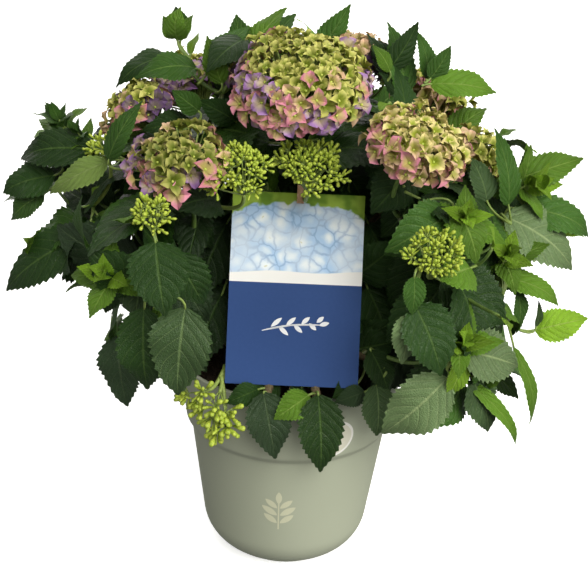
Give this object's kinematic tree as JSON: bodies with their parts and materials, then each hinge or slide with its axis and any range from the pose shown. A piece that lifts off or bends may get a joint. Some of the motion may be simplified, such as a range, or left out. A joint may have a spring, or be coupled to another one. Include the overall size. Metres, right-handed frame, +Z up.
{
  "type": "potted hydrangea shrub",
  "caption": "Rounded mophead hydrangea shrub in a tapered plastic pot: canes, leafy shoots, domed pink and lime flower heads, bud clusters and a plain card label on a stick.",
  "frame": {"origin": "middle of the pot's flat underside", "axes": "+Z up along the pot, -Y towards the side with the label, +X to the right of that side"},
  "size_m": [0.593, 0.5131, 0.5842],
  "materials": {
    "pot_plastic": "matte sage grey moulded plastic",
    "compost": "dark crumbly potting compost",
    "bark": "buff bark with raised pores",
    "leaves": "veined leaf, faint sheen",
    "petals": "soft matte petal",
    "label_card": "printed card with a satin coat",
    "label_stick": "stained thin wood"
  },
  "bodies": {
    "root": {"pot": "pot_plastic", "compost": "compost", "stem": "bark", "label_card": "label_card", "label_stick": "label_stick", "skirt_leaves_1": "leaves", "skirt_leaves_2": "leaves", "skirt_leaves_3": "leaves", "skirt_leaves_4": "leaves", "skirt_leaves_5": "leaves", "skirt_leaves_6": "leaves", "skirt_leaves_7": "leaves", "skirt_leaves_8": "leaves", "skirt_leaves_9": "leaves", "flank_leaves_1": "leaves", "flank_leaves_2": "leaves", "flank_leaves_3": "leaves", "flank_leaves_4": "leaves", "flank_leaves_5": "leaves", "flank_leaves_6": "leaves", "flank_leaves_7": "leaves", "shoulder_leaves_1": "leaves", "shoulder_leaves_2": "leaves", "shoulder_leaves_3": "leaves", "shoulder_leaves_4": "leaves", "shoulder_leaves_5": "leaves", "shoulder_leaves_6": "leaves", "crest_leaves_1": "leaves", "crest_leaves_2": "leaves", "crest_leaves_3": "leaves", "leaves_behind_label": "leaves", "leaves_over_rim_left": "leaves", "leaves_over_rim_right": "leaves", "young_shoot": "leaves", "flower_head_1": "petals", "flower_head_2": "petals", "flower_head_3": "petals", "flower_head_4": "petals", "flower_head_5": "petals", "flower_head_6": "petals", "flower_head_7": "petals", "flower_head_8": "petals", "flower_head_9": "petals", "flower_head_10": "petals", "cane_1": "bark", "cane_2": "bark", "cane_3": "bark", "cane_4": "bark", "cane_5": "bark", "cane_6": "bark", "cane_7": "bark", "cane_8": "bark", "cane_9": "bark", "cane_10": "bark", "cane_11": "bark", "cane_12": "bark", "cane_13": "bark", "cane_14": "bark", "cane_15": "bark"}
  },
  "joints": []
}
